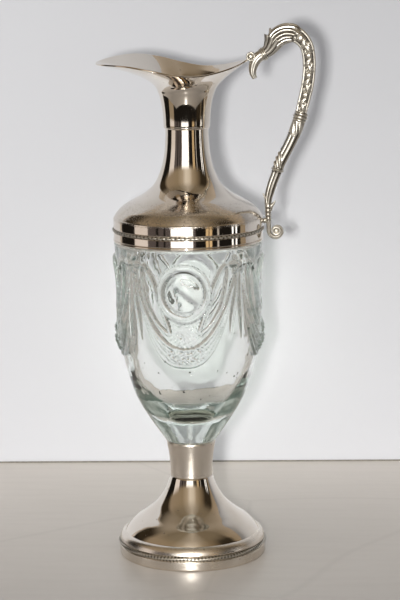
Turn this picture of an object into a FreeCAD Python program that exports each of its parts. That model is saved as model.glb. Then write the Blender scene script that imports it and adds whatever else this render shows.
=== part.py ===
import FreeCAD, Part
import math
import os

# A footed glass ewer with plated metal mounts, in millimetres.
# The body axis is Z, the base stands on z = 0, the handle is towards +X and the
# spout towards -X.

# ---- driving dimensions ------------------------------------------------------

FOOT_R = 50.0            # outer radius of the foot's edge
FLANGE_TOP = 15.5        # height of the foot's stepped edge
STEM_R = 14.4            # radius where foot, cup and neck are narrowest
CUP_BOTTOM = 54.0        # where the foot ends and the cup begins
CUP_TOP = 78.5           # upper edge of the cup that holds the glass
GLASS_BOTTOM = 79.5      # underside of the glass bowl, above its peg
COLLAR_R = 50.2          # outer radius of the collar round the glass
COLLAR_BOTTOM = 217.2    # lower edge of the collar
SHOULDER_BASE = 232.5    # where the collar turns in to the shoulder
NECK_JOINT = 293.5       # seam between the neck and the spout
SPOUT_START = 317.0      # height at which the round neck opens into the mouth

SHEET = 1.2              # thickness of the sheet metal
GLASS_WALL = 4.2         # thickness of the pressed glass wall
CEMENT = 1.0             # thickness of the plaster bed round the glass
ROPE_R = 1.15            # radius of the twisted wire bands
EDGE_WALL = 2.6          # thickness of the foot's wire-stiffened lower edge

MOUTH_TWIST = math.tan(math.radians(3.5))   # the mouth sits a little lower at the -Y side

ORIGIN = FreeCAD.Vector(0, 0, 0)
Z_AXIS = FreeCAD.Vector(0, 0, 1)
Y_AXIS = FreeCAD.Vector(0, 1, 0)


# ---- helpers -----------------------------------------------------------------

def at(x, z, y=0.0):
    return FreeCAD.Vector(x, y, z)


def line(start, end):
    return Part.makeLine(start, end)


def curve(points):
    """A smooth edge through radius and height pairs."""
    spline = Part.BSplineCurve()
    spline.interpolate([at(radius, height) for radius, height in points])
    return spline.toShape()


def offset_points(edge, distance, count=14):
    """Radius and height pairs beside an edge, on its left as it is drawn."""
    first, last = edge.ParameterRange
    result = []
    for index in range(count + 1):
        parameter = first + (last - first) * index / count
        point = edge.valueAt(parameter)
        tangent = edge.tangentAt(parameter)
        result.append((point.x - tangent.z * distance, point.z + tangent.x * distance))
    return result


def turned(edges):
    """A solid of revolution about Z from a closed outline."""
    outline = Part.Wire(Part.__sortEdges__(edges))
    solid = Part.Face(outline).revolve(ORIGIN, Z_AXIS, 360)
    return solid if solid.Volume > 0 else solid.reversed()


def turned_polygon(points):
    corners = [at(radius, height) for radius, height in points]
    return turned(Part.makePolygon(corners + corners[:1]).Edges)


def turned_sheet(outer, thickness):
    """Spun sheet metal whose outer face follows an edge drawn upwards."""
    inner_pairs = offset_points(outer, thickness)
    start = outer.valueAt(outer.FirstParameter)
    end = outer.valueAt(outer.LastParameter)
    inner_pairs[0] = (inner_pairs[0][0], start.z)
    inner_pairs[-1] = (inner_pairs[-1][0], end.z)
    inner = curve(inner_pairs)
    return turned([outer, inner, line(start, at(*inner_pairs[0])), line(end, at(*inner_pairs[-1]))])


def rope(radius, height, wire_radius):
    return Part.makeTorus(radius, wire_radius, at(0, height), Z_AXIS)


def section(centre, direction, width, depth):
    """An oval wire across a path in the XZ plane; width is measured in that plane."""
    side = Y_AXIS.cross(direction).normalize()
    points = []
    for index in range(12):
        angle = 2 * math.pi * index / 12
        points.append(centre + side * (math.cos(angle) * width / 2) + Y_AXIS * (math.sin(angle) * depth / 2))
    ring = Part.BSplineCurve()
    ring.interpolate(points, PeriodicFlag=True)
    return Part.Wire(ring.toShape())


def cast_bar(stations):
    """A curved bar in the XZ plane through (x, z, width, depth) stations."""
    centres = [at(x, z) for x, z, width, depth in stations]
    wires = []
    for index, (x, z, width, depth) in enumerate(stations):
        before = centres[max(index - 1, 0)]
        after = centres[min(index + 1, len(centres) - 1)]
        wires.append(section(centres[index], (after - before).normalize(), width, depth))
    return Part.makeLoft(wires, True)


def ring_collar(centre, direction, outer_radius, length):
    """Three beads side by side on a short sleeve, turned about a slanted axis."""
    direction = FreeCAD.Vector(direction).normalize()
    sleeve = Part.makeCylinder(outer_radius - 0.8, length, centre - direction * (length / 2), direction)
    bead_radius = length / 6
    for index in (-1, 0, 1):
        bead_centre = centre + direction * (index * 2 * bead_radius)
        bead_size = outer_radius - bead_radius - (0.0 if index == 0 else 0.35)
        sleeve = sleeve.fuse(Part.makeTorus(bead_size, bead_radius, bead_centre, direction))
    return sleeve.removeSplitter()


# ---- foot --------------------------------------------------------------------

def foot_trumpet():
    outer = curve(
        [(45.7, FLANGE_TOP), (44.1, 20.0), (39.2, 24.0), (32.0, 28.6), (25.0, 34.4),
         (20.0, 41.0), (16.5, 48.0), (STEM_R, CUP_BOTTOM)])
    return turned_sheet(outer, SHEET)


def foot_flange():
    """Stepped edge: a plain lower wall, a groove for the rope and a narrow top step."""
    inner = FOOT_R - EDGE_WALL
    outline = [
        (44.5, FLANGE_TOP), (47.3, FLANGE_TOP), (48.0, 14.8), (48.4, 13.2), (49.4, 12.6),
        (FOOT_R, 11.8), (FOOT_R, 0.8), (FOOT_R - 0.5, 0.0), (inner, 0.0),
        (inner, 11.0), (46.0, 13.6), (44.5, FLANGE_TOP - SHEET),
    ]
    return turned_polygon(outline).cut(foot_rope_band())


def foot_rope_band():
    return rope(FOOT_R - 0.5, 8.4, ROPE_R)


def base_pad():
    """Cloth disc that closes the hollow foot and rests on the table."""
    return Part.makeCylinder(FOOT_R - EDGE_WALL, SHEET)


# ---- cup and glass -----------------------------------------------------------

def cup_outer():
    return curve([(STEM_R, CUP_BOTTOM), (14.5, 61.0), (15.2, 69.0), (16.8, CUP_TOP)])


def stem_cup():
    outer = cup_outer()
    pairs = offset_points(outer, SHEET)
    pairs[0] = (pairs[0][0], CUP_BOTTOM + SHEET)
    pairs[-1] = (pairs[-1][0], CUP_TOP)
    inner = curve(pairs)
    return turned([
        outer, inner,
        line(at(16.8, CUP_TOP), at(*pairs[-1])),
        line(at(*pairs[0]), at(0, CUP_BOTTOM + SHEET)),
        line(at(0, CUP_BOTTOM + SHEET), at(0, CUP_BOTTOM)),
        line(at(0, CUP_BOTTOM), at(STEM_R, CUP_BOTTOM)),
    ])


PEG_R = 12.2
PEG_BOTTOM = 57.0
PEG_TOP = GLASS_BOTTOM - 0.6
LEDGE_Z = COLLAR_BOTTOM - 0.4                # step in the glass that the collar stands over
LEDGE_R = 49.6
RELIEF_DIRECTIONS = [0, 90, 180, 270]        # the four swags, in degrees from +X
KNOT_DIRECTIONS = [45, 135, 225, 315]

BOWL = [
    (17.2, GLASS_BOTTOM), (20.8, 84.6), (26.5, 92.8), (32.3, 102.0), (37.0, 111.0), (42.5, 127.5),
    (45.6, 142.0), (47.0, 160.0), (48.0, 180.0), (49.0, 200.0), (50.0, 215.4),
]
GLASS_NECK_R = 47.6
GLASS_INNER_R = GLASS_NECK_R - GLASS_WALL    # inside radius at the glass's upper edge
GLASS_TOP = 234.0
CAVITY_FLOOR = 97.0
CAVITY = [
    (GLASS_INNER_R, GLASS_TOP), (44.0, 214.0), (44.2, 200.0), (43.6, 180.0), (42.8, 160.0), (41.0, 142.0),
    (37.2, 127.5), (29.8, 112.0), (18.0, 101.2), (8.0, 97.6), (0.0, CAVITY_FLOOR),
]

SWAG_LOW = 146.5                             # height of a garland's middle at its lowest
SWAG_RISE = 61.0                             # how much higher its ends are
SWAG_POWER = 2.4                             # how steeply it climbs towards the knots
SWAG_REACH = 43.0                            # half the turn it covers, in degrees
MEDALLION_Z = 188.5
KNOT_Z = 207.0
KNOT_R = 6.2


def bowl_edge():
    return curve(BOWL)


def bowl_radius(height):
    """Outer radius of the plain bowl at a height, straight between its points."""
    for (r0, z0), (r1, z1) in zip(BOWL, BOWL[1:]):
        if z0 <= height <= z1:
            return r0 + (r1 - r0) * (height - z0) / (z1 - z0)
    return BOWL[-1][0]


def around(direction, radius, height, sideways=0.0):
    """A point at a radius, turned from +X, and moved sideways along the surface in degrees."""
    angle = math.radians(direction + sideways)
    return FreeCAD.Vector(radius * math.cos(angle), radius * math.sin(angle), height)


def swag(direction):
    """A garland that hangs from one knot to the next in a deep curve."""
    wires = []
    count = 8
    for index in range(-count, count + 1):
        share = index / count
        height = SWAG_LOW + SWAG_RISE * abs(share) ** SWAG_POWER
        thickness = 4.8 - 2.2 * abs(share) ** 1.5
        radius = bowl_radius(height) + 2.6 - 2.0 * abs(share)
        centre = around(direction, radius, height, SWAG_REACH * share)
        slope = SWAG_RISE * SWAG_POWER * abs(share) ** (SWAG_POWER - 1) * math.copysign(1, share)
        tangent_side = around(direction + 90, radius * math.radians(SWAG_REACH), 0, SWAG_REACH * share)
        direction_vector = FreeCAD.Vector(tangent_side.x, tangent_side.y, slope)
        ring = Part.Circle(centre, direction_vector, thickness)
        wires.append(Part.Wire(ring.toShape()))
    return Part.makeLoft(wires, True)


def raised_bowl(height):
    """The bowl's outside, swollen by a height, as a solid to trim the relief with."""
    pairs = [(radius + height, z) for radius, z in BOWL[5:]]
    outer = curve(pairs)
    low = pairs[0][1]
    high = pairs[-1][1]
    return turned([outer, line(at(pairs[0][0], low), at(0, low)), line(at(0, low), at(0, high)),
                   line(at(0, high), at(pairs[-1][0], high))])


def medallion(direction):
    """A round boss with a raised rim above a swag, following the bowl's curve."""
    start = around(direction, 40.0, MEDALLION_Z)
    outward = around(direction, 1.0, 0)
    disc = Part.makeCylinder(11.5, 20.0, start, outward).common(raised_bowl(1.2))
    ring = Part.makeCylinder(17.0, 20.0, start, outward).cut(Part.makeCylinder(13.6, 20.0, start, outward))
    return disc.multiFuse([ring.common(raised_bowl(2.2))])


def knot(direction):
    return Part.makeSphere(KNOT_R, around(direction, 46.6, KNOT_Z))


def glass_body():
    bowl = bowl_edge()
    cavity = curve(CAVITY)
    body = turned([
        bowl, cavity,
        line(at(0, CAVITY_FLOOR), at(0, PEG_BOTTOM)),
        line(at(0, PEG_BOTTOM), at(PEG_R, PEG_BOTTOM)),
        line(at(PEG_R, PEG_BOTTOM), at(PEG_R, PEG_TOP)),
        line(at(PEG_R, PEG_TOP), at(*BOWL[0])),
        line(at(*BOWL[-1]), at(LEDGE_R, LEDGE_Z)),
        line(at(LEDGE_R, LEDGE_Z), at(GLASS_NECK_R, LEDGE_Z)),
        line(at(GLASS_NECK_R, LEDGE_Z), at(GLASS_NECK_R, GLASS_TOP)),
        line(at(GLASS_NECK_R, GLASS_TOP), at(GLASS_INNER_R, GLASS_TOP)),
    ])
    relief = [swag(direction) for direction in RELIEF_DIRECTIONS]
    relief += [medallion(direction) for direction in RELIEF_DIRECTIONS]
    relief += [knot(direction) for direction in KNOT_DIRECTIONS]
    body = body.multiFuse(relief)
    # nothing of the relief may stand inside the hollow
    hollow = turned([cavity, line(at(0, CAVITY_FLOOR), at(0, GLASS_TOP)),
                     line(at(0, GLASS_TOP), at(GLASS_INNER_R, GLASS_TOP))])
    return body.cut(hollow)


def stem_cement():
    """Plaster bed between the glass peg and the cup."""
    pairs = offset_points(cup_outer(), SHEET)
    pairs[0] = (pairs[0][0], CUP_BOTTOM + SHEET)
    pairs[-1] = (pairs[-1][0], CUP_TOP)
    outer = curve(pairs)
    fill = turned([
        outer,
        line(at(*pairs[-1]), at(PEG_R, PEG_TOP)),
        line(at(PEG_R, PEG_TOP), at(PEG_R, PEG_BOTTOM)),
        line(at(PEG_R, PEG_BOTTOM), at(0, PEG_BOTTOM)),
        line(at(0, PEG_BOTTOM), at(0, CUP_BOTTOM + SHEET)),
        line(at(0, CUP_BOTTOM + SHEET), at(*pairs[0])),
    ])
    return fill


# ---- collar, shoulder and neck -----------------------------------------------

COLLAR_WALL_R = COLLAR_R - 0.8      # the part of the collar behind the applied bands
COLLAR_INNER_R = GLASS_NECK_R + CEMENT
ROPE_Z = 225.1
BAND_TOP = 224.0
BEAD_R = 0.9


def shoulder_mount():
    outer = curve(
        [(COLLAR_R, SHOULDER_BASE), (48.7, 237.0), (44.2, 242.2), (36.8, 246.3), (29.0, 250.1),
         (22.2, 256.0), (17.9, 264.5), (15.8, 273.0), (14.8, 281.0), (14.45, 287.5), (STEM_R, NECK_JOINT)])
    pairs = offset_points(outer, SHEET, 20)
    pairs[0] = (COLLAR_INNER_R, SHOULDER_BASE)
    pairs[-1] = (STEM_R - SHEET, NECK_JOINT)
    inner = curve(pairs)
    return turned([
        outer, inner,
        line(at(STEM_R, NECK_JOINT), at(STEM_R - SHEET, NECK_JOINT)),
        line(at(COLLAR_INNER_R, SHOULDER_BASE), at(COLLAR_INNER_R, COLLAR_BOTTOM)),
        line(at(COLLAR_INNER_R, COLLAR_BOTTOM), at(COLLAR_WALL_R, COLLAR_BOTTOM)),
        line(at(COLLAR_WALL_R, COLLAR_BOTTOM), at(COLLAR_WALL_R, ROPE_Z + ROPE_R)),
        line(at(COLLAR_WALL_R, ROPE_Z + ROPE_R), at(COLLAR_R, ROPE_Z + ROPE_R)),
        line(at(COLLAR_R, ROPE_Z + ROPE_R), at(COLLAR_R, SHOULDER_BASE)),
    ]).cut(collar_rope_band())


def collar_rope_band():
    return rope(COLLAR_R - 0.1, ROPE_Z, ROPE_R)


def collar_band():
    """Applied plain band on the lower half of the collar."""
    low = COLLAR_BOTTOM + 2 * BEAD_R
    band = turned_polygon([(COLLAR_WALL_R, low), (COLLAR_R, low), (COLLAR_R, BAND_TOP), (COLLAR_WALL_R, BAND_TOP)])
    return band.cut(collar_rope_band())


def collar_edge_bead():
    """Half-round wire on the collar's lower edge."""
    middle = COLLAR_BOTTOM + BEAD_R
    whole = Part.makeTorus(COLLAR_WALL_R + 0.2, BEAD_R, at(0, middle), Z_AXIS)
    inside = Part.makeCylinder(COLLAR_WALL_R, 4 * BEAD_R, at(0, middle - 2 * BEAD_R))
    return whole.cut(inside)


def collar_cement():
    """Plaster bed between the glass and the collar."""
    return turned_polygon([
        (GLASS_NECK_R, COLLAR_BOTTOM + 0.8), (COLLAR_INNER_R, COLLAR_BOTTOM + 0.8),
        (COLLAR_INNER_R, SHOULDER_BASE - 0.5), (GLASS_NECK_R, SHOULDER_BASE - 0.5),
    ])


def neck_ring():
    """Small half-round wire over the seam between neck and spout."""
    half_height = 1.3
    bed_radius = STEM_R + 0.03
    low = at(bed_radius, NECK_JOINT - half_height)
    high = at(bed_radius, NECK_JOINT + half_height)
    bulge = Part.Arc(low, at(STEM_R + 1.2, NECK_JOINT), high).toShape()
    return turned([bulge, line(high, low)])


# ---- spout -------------------------------------------------------------------

# The mouth's edge on its +Y side, from handle to tip: x, half width and height.
RIM = [
    (41.5, 0.0, 338.6), (35.5, 8.6, 335.6), (23.0, 18.4, 332.2), (9.0, 27.5, 330.6), (-6.0, 34.5, 332.4),
    (-21.0, 37.6, 335.8), (-36.0, 34.0, 338.0), (-49.0, 24.0, 337.8), (-57.0, 12.0, 336.9), (-60.0, 0.0, 336.5),
]
NECK_LEVELS = [(STEM_R, NECK_JOINT), (14.1, 298.5), (14.5, 304.0), (15.6, 309.5), (17.0, 314.5)]
MEETING = (17.9, SPOUT_START)


def rim_points():
    """The whole edge of the mouth, round from the handle by way of +Y."""
    upper = [FreeCAD.Vector(x, half, z + half * MOUTH_TWIST) for x, half, z in RIM]
    lower = [FreeCAD.Vector(x, -half, z - half * MOUTH_TWIST) for x, half, z in RIM[1:-1]]
    return upper + lower[::-1]


def flare_point(edge_point, share):
    """A point on the outer face between the round neck and the mouth's edge."""
    reach = math.hypot(edge_point.x, edge_point.y)
    away = FreeCAD.Vector(edge_point.x / reach, edge_point.y / reach, 0)
    towards_spout = max(0.0, -away.x) ** 2
    lean = math.radians(38 - 28 * towards_spout)
    pull = 10 + 20 * towards_spout
    radii = [MEETING[0], 19.6, reach - pull * math.cos(lean), reach]
    heights = [MEETING[1], 323.8, edge_point.z - pull * math.sin(lean), edge_point.z]
    weights = [(1 - share) ** 3, 3 * share * (1 - share) ** 2, 3 * share ** 2 * (1 - share), share ** 3]
    radius = sum(w * r for w, r in zip(weights, radii))
    height = sum(w * h for w, h in zip(weights, heights))
    return away * radius + Z_AXIS * height


def spout_levels():
    """Rows of points on the outer face, from the seam up to the mouth's edge."""
    edge = rim_points()
    rows = []
    for radius, height in NECK_LEVELS:
        row = []
        for point in edge:
            reach = math.hypot(point.x, point.y)
            row.append(FreeCAD.Vector(point.x * radius / reach, point.y * radius / reach, height))
        rows.append(row)
    for share in (0.0, 0.2, 0.4, 0.55, 0.7, 0.85, 1.0):
        rows.append([flare_point(point, share) for point in edge])
    return rows


def inside_levels(rows, thickness):
    """The same rows moved inwards along the surface normal."""
    moved = []
    last = len(rows) - 1
    for level, row in enumerate(rows):
        below = rows[max(level - 1, 0)]
        above = rows[min(level + 1, last)]
        moved_row = []
        for index, point in enumerate(row):
            along = row[(index + 1) % len(row)] - row[index - 1]
            upward = above[index] - below[index]
            normal = along.cross(upward).normalize()
            if level == 0:
                normal = FreeCAD.Vector(normal.x, normal.y, 0).normalize()
            moved_row.append(point - normal * thickness)
        moved.append(moved_row)
    return moved


def ring_through(points):
    ring = Part.BSplineCurve()
    ring.interpolate(points, PeriodicFlag=True)
    return Part.Wire(ring.toShape())


def spout():
    outside_rows = spout_levels()
    inside_rows = inside_levels(outside_rows, SHEET)
    outside = [ring_through(row) for row in outside_rows]
    inside = [ring_through(row) for row in inside_rows]
    faces = Part.makeLoft(outside, False).Faces + Part.makeLoft(inside, False).Faces
    faces += Part.makeLoft([outside[-1], inside[-1]], False, True).Faces
    faces += Part.makeLoft([outside[0], inside[0]], False, True).Faces
    shell = Part.Shell(faces)
    shell.sewShape()
    solid = Part.Solid(Part.Shell(shell.Faces))
    return solid if solid.Volume > 0 else solid.reversed()


# ---- handle ------------------------------------------------------------------

COLLAR_CENTRE = at(51.4, 340.9)
COLLAR_DIRECTION = at(0.86, 0.51)
MIDDLE_CENTRE = at(75.4, 299.2)
MIDDLE_DIRECTION = at(0.3, 0.954)


def handle_beak():
    """Scroll and hooked beak that join the handle to the mouth's edge."""
    beak = cast_bar([
        (49.9, 340.1, 7.2, 7.0), (47.6, 338.6, 6.8, 6.6), (45.3, 335.6, 6.4, 6.0),
        (43.9, 331.8, 5.2, 5.0), (43.6, 328.2, 3.6, 3.8), (45.4, 324.4, 1.4, 1.6),
    ])
    scroll = Part.makeCylinder(3.1, 6.4, at(42.9, 339.4, -3.2), Y_AXIS)
    return beak.fuse(scroll).cut(spout()).cut(handle_upper_collar())


def handle_upper_collar():
    return ring_collar(COLLAR_CENTRE, COLLAR_DIRECTION, 4.7, 3.6)


def handle_bow():
    """Leaf-cupped upper arm, from the upper collar over to the middle collar."""
    leaf_cup = cast_bar([
        (52.6, 341.6, 7.4, 7.4), (55.0, 343.8, 8.4, 8.2), (57.2, 347.2, 10.6, 9.6), (58.8, 350.6, 14.0, 11.0),
    ])
    leaf_tip = cast_bar([
        (58.4, 349.0, 5.0, 7.0), (56.6, 353.4, 3.6, 5.0), (55.4, 358.8, 1.2, 1.6),
    ])
    arm = cast_bar([
        (57.0, 347.0, 8.4, 8.4), (60.6, 351.8, 10.8, 9.2), (65.4, 354.6, 11.2, 9.4), (71.6, 354.6, 10.2, 9.0),
        (76.8, 351.5, 9.0, 8.6), (80.4, 346.8, 8.2, 8.4), (82.0, 341.0, 7.8, 8.2), (82.6, 333.9, 7.7, 8.0),
        (82.2, 326.4, 7.7, 7.8), (81.0, 318.8, 7.6, 7.6), (79.3, 312.0, 7.4, 7.4), (77.4, 305.6, 7.2, 7.2),
        (75.4, 299.2, 7.0, 7.0),
    ])
    bow = arm.multiFuse([leaf_cup, leaf_tip])
    return bow.cut(handle_upper_collar()).cut(handle_middle_collar())


def handle_middle_collar():
    return ring_collar(MIDDLE_CENTRE, MIDDLE_DIRECTION, 5.0, 6.3)


def handle_stem():
    """Lower arm with its ribbon knot, leaf tips and the scroll at its foot."""
    arm = cast_bar([
        (75.4, 299.2, 7.2, 7.0), (73.2, 292.6, 7.4, 7.2), (70.6, 286.0, 7.4, 7.2), (67.4, 279.4, 7.2, 7.0),
        (64.2, 273.4, 7.2, 7.0), (61.6, 268.0, 7.0, 6.8), (59.2, 261.3, 6.0, 6.2), (56.8, 255.0, 5.8, 6.0),
        (55.0, 249.0, 5.4, 5.8), (53.9, 243.6, 4.2, 5.2), (53.8, 236.0, 3.6, 4.6), (54.0, 229.6, 3.3, 4.2),
        (54.6, 225.2, 3.0, 4.0), (55.9, 221.4, 2.8, 4.0), (58.4, 219.4, 2.7, 4.0), (61.2, 219.9, 2.5, 4.0),
        (62.7, 222.6, 2.3, 4.0), (61.8, 225.4, 2.1, 4.0), (59.6, 226.2, 1.8, 3.8),
    ])
    eye = Part.makeCylinder(2.0, 4.0, at(59.2, 223.0, -2.0), Y_AXIS)
    eye_bridge = cast_bar([(59.2, 223.0, 1.6, 3.6), (59.5, 226.0, 1.6, 3.6)])
    knot_low = Part.makeTorus(3.0, 1.4, at(60.9, 266.3), at(0.42, 0.9))
    leaf_left = cast_bar([(54.4, 241.0, 3.0, 3.2), (52.4, 244.6, 2.2, 2.6), (50.4, 248.0, 0.8, 1.0)])
    leaf_right = cast_bar([(54.4, 239.0, 3.0, 3.2), (56.4, 240.8, 2.4, 2.6), (58.6, 243.2, 0.8, 1.0)])
    stem = arm.multiFuse([eye, eye_bridge, knot_low, leaf_left, leaf_right])
    return stem.cut(handle_middle_collar()).cut(shoulder_mount())


def handle_post():
    """Small round stand-off between the shoulder and the handle's foot."""
    post = Part.makeCylinder(1.4, 4.4, at(49.4, 230.0), FreeCAD.Vector(1, 0, 0))
    ball = Part.makeSphere(1.9, at(51.5, 230.0))
    return post.fuse(ball).cut(shoulder_mount()).cut(handle_stem())


# ---- writing the pieces ------------------------------------------------------

NODES = {
    "spout": spout,
    "neck_ring": neck_ring,
    "shoulder_mount": shoulder_mount,
    "collar_rope_band": collar_rope_band,
    "collar_band": collar_band,
    "collar_edge_bead": collar_edge_bead,
    "collar_cement": collar_cement,
    "glass_body": glass_body,
    "stem_cup": stem_cup,
    "stem_cement": stem_cement,
    "foot_trumpet": foot_trumpet,
    "foot_flange": foot_flange,
    "foot_rope_band": foot_rope_band,
    "base_pad": base_pad,
    "handle_beak": handle_beak,
    "handle_upper_collar": handle_upper_collar,
    "handle_bow": handle_bow,
    "handle_middle_collar": handle_middle_collar,
    "handle_stem": handle_stem,
    "handle_post": handle_post,
}

os.makedirs("parts", exist_ok=True)
for name, build in NODES.items():
    shape = build()
    solids = shape.Solids
    if len(solids) != 1 or not shape.isValid():
        raise ValueError(name + " should be one valid solid, but has " + str(len(solids)))
    print(name, "volume", round(shape.Volume, 1))
    solids[0].exportStep("parts/" + name + ".step")
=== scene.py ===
import math
import bpy
import numpy as np
from mathutils import Matrix, Vector


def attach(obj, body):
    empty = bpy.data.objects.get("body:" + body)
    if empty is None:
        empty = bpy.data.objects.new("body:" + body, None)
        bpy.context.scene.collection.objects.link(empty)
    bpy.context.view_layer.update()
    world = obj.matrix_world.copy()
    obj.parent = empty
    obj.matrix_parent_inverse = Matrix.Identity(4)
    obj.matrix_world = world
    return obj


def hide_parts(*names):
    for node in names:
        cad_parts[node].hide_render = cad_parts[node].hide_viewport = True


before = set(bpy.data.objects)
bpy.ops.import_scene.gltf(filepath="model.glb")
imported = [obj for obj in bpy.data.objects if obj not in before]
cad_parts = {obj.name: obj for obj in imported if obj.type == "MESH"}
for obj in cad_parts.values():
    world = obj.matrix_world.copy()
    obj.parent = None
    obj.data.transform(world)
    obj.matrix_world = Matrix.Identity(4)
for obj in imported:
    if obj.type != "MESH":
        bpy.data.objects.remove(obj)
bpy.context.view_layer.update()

# Footed glass ewer with silver-plated mounts. Lengths in the dictionaries are millimetres.
mm = 0.001
scene = bpy.context.scene
print("frame loaded,", len(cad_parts), "nodes")


def unit(values):
    return np.clip(values, 0, 1)


def domed(values):
    # height of a half circle: 1 in the middle, 0 at -1 and 1
    return np.sqrt(unit(1 - values ** 2))


def readPoints(piece):
    # the mesh's points in millimetres, a row for each
    flat = np.empty(len(piece.data.vertices) * 3)
    piece.data.vertices.foreach_get("co", flat)
    return flat.reshape(-1, 3) / mm


def writePoints(piece, points):
    piece.data.vertices.foreach_set("co", (points * mm).ravel())
    piece.data.update()


def noteHollow(piece, values):
    # how deep in a hollow each point lies, 0 to 1; the finishes are darker there, as dirt on the cast
    # silver and as painted shade on the glass
    attribute = piece.data.attributes.new("hollow", "FLOAT", "POINT")
    attribute.data.foreach_set("value", values.astype(np.float32))


def startClean():
    if bpy.context.mode != "OBJECT":
        bpy.ops.object.mode_set(mode="OBJECT")
    bpy.ops.object.select_all(action="DESELECT")


def smoothLine(points, steps):
    # a soft curve through given points, the same number of steps in each stretch
    rows = [np.array(p, float) for p in points]
    rows = [2 * rows[0] - rows[1]] + rows + [2 * rows[-1] - rows[-2]]
    result = []
    for i in range(1, len(rows) - 2):
        a, b, c, d = rows[i - 1], rows[i], rows[i + 1], rows[i + 2]
        # tangents weighted by distance keep the curve from bulging where points are uneven
        ab, bc, cd = (np.linalg.norm(q - p) ** 0.5 + 1e-9 for p, q in ((a, b), (b, c), (c, d)))
        tangentB = bc * ((b - a) / ab - (c - a) / (ab + bc) + (c - b) / bc)
        tangentC = bc * ((c - b) / bc - (d - b) / (bc + cd) + (d - c) / cd)
        for k in range(steps):
            t = k / steps
            result.append((2 * t ** 3 - 3 * t ** 2 + 1) * b + (t ** 3 - 2 * t ** 2 + t) * tangentB
                          + (3 * t ** 2 - 2 * t ** 3) * c + (t ** 3 - t ** 2) * tangentC)
    result.append(rows[-2])
    return [tuple(p) for p in result]


def arcPoints(r, z, width, height, low, high, count):
    # a stretch of an ellipse in the XZ plane, from one angle in degrees to another
    angles = [math.radians(low + (high - low) * i / count) for i in range(count + 1)]
    return [(r + width * math.cos(a), z + height * math.sin(a)) for a in angles]


def sheetOutline(outer, thickness):
    # closed outline of a metal sheet: up the outside, over a rounded edge, down the inside
    points = np.array(outer, float)
    slope = np.gradient(points, axis=0)
    slope /= np.linalg.norm(slope, axis=1)[:, None]
    inward = np.stack([-slope[:, 1], slope[:, 0]], axis=1)
    inner = points + inward * thickness
    topMiddle = (points[-1] + inner[-1]) / 2 + slope[-1] * thickness * 0.35
    lowMiddle = (points[0] + inner[0]) / 2 - slope[0] * thickness * 0.35
    return [tuple(p) for p in (*points, topMiddle, *inner[::-1], lowMiddle)]


def spinOutline(name, outline, steps, closed=True):
    # the outline is drawn vertex by vertex in the XZ plane, then spun round the axis
    startClean()
    bpy.ops.mesh.primitive_plane_add(size=mm, location=(0, 0, 0))
    piece = bpy.context.object
    piece.name = name
    bpy.ops.object.mode_set(mode="EDIT")
    bpy.ops.mesh.select_all(action="SELECT")
    bpy.ops.mesh.merge(type="CENTER")
    bpy.ops.transform.translate(value=(outline[0][0] * mm, 0, outline[0][1] * mm))
    path = list(outline) + ([outline[0]] if closed else [])
    for (r0, z0), (r1, z1) in zip(path, path[1:]):
        bpy.ops.mesh.extrude_vertices_move(
            TRANSFORM_OT_translate={"value": ((r1 - r0) * mm, 0, (z1 - z0) * mm)})
    bpy.ops.mesh.select_all(action="SELECT")
    bpy.ops.mesh.remove_doubles(threshold=0.002 * mm)
    bpy.ops.mesh.spin(steps=steps, angle=2 * math.pi, center=(0, 0, 0), axis=(0, 0, 1))
    bpy.ops.mesh.select_all(action="SELECT")
    bpy.ops.mesh.remove_doubles(threshold=0.004 * mm)
    bpy.ops.mesh.normals_make_consistent(inside=False)
    bpy.ops.object.mode_set(mode="OBJECT")
    bpy.ops.object.shade_smooth()
    return piece


def gridPiece(name, columns, rows, place, capEnds=True):
    # a grid primitive whose vertices are moved to place(u, v); u runs round, v runs along, both 0 to 1
    startClean()
    bpy.ops.mesh.primitive_grid_add(x_subdivisions=columns, y_subdivisions=rows, size=1.0)
    piece = bpy.context.object
    piece.name = name
    points = readPoints(piece) * mm + 0.5
    moved, hollow = place(points[:, 0], points[:, 1])
    writePoints(piece, moved)
    noteHollow(piece, hollow)
    bpy.ops.object.mode_set(mode="EDIT")
    bpy.ops.mesh.select_all(action="SELECT")
    bpy.ops.mesh.remove_doubles(threshold=0.003 * mm)
    if capEnds:
        bpy.ops.mesh.select_all(action="DESELECT")
        bpy.ops.mesh.select_non_manifold()
        bpy.ops.mesh.fill_holes(sides=0)
    bpy.ops.mesh.select_all(action="SELECT")
    bpy.ops.mesh.normals_make_consistent(inside=False)
    bpy.ops.object.mode_set(mode="OBJECT")
    bpy.ops.object.shade_smooth()
    return piece


def applyAll(piece):
    startClean()
    bpy.context.view_layer.objects.active = piece
    piece.select_set(True)
    for modifier in list(piece.modifiers):
        bpy.ops.object.modifier_apply(modifier=modifier.name)


def joinPieces(name, pieces):
    startClean()
    for piece in pieces:
        piece.select_set(True)
    bpy.context.view_layer.objects.active = pieces[0]
    bpy.ops.object.join()
    pieces[0].name = name
    return pieces[0]


def fit(piece, nodes, material):
    # the finished piece rides on the body, stands for its nodes and takes its finish
    piece.data.materials.clear()
    piece.data.materials.append(material)
    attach(piece, "root")
    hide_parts(*nodes)


class Signal:
    # a socket that can be used in a Python expression
    def __init__(self, bench, socket):
        self.bench = bench
        self.socket = socket

    def work(self, operation, other):
        return self.bench.add("Math", {"operation": operation}, {0: self, 1: other})

    def turned(self, operation, other):
        return self.bench.add("Math", {"operation": operation}, {0: other, 1: self})

    def __add__(self, other):
        return self.work("ADD", other)

    def __radd__(self, other):
        return self.work("ADD", other)

    def __sub__(self, other):
        return self.work("SUBTRACT", other)

    def __rsub__(self, other):
        return self.turned("SUBTRACT", other)

    def __mul__(self, other):
        return self.work("MULTIPLY", other)

    def __rmul__(self, other):
        return self.work("MULTIPLY", other)

    def __truediv__(self, other):
        return self.work("DIVIDE", other)

    def __pow__(self, other):
        return self.work("POWER", other)


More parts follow.
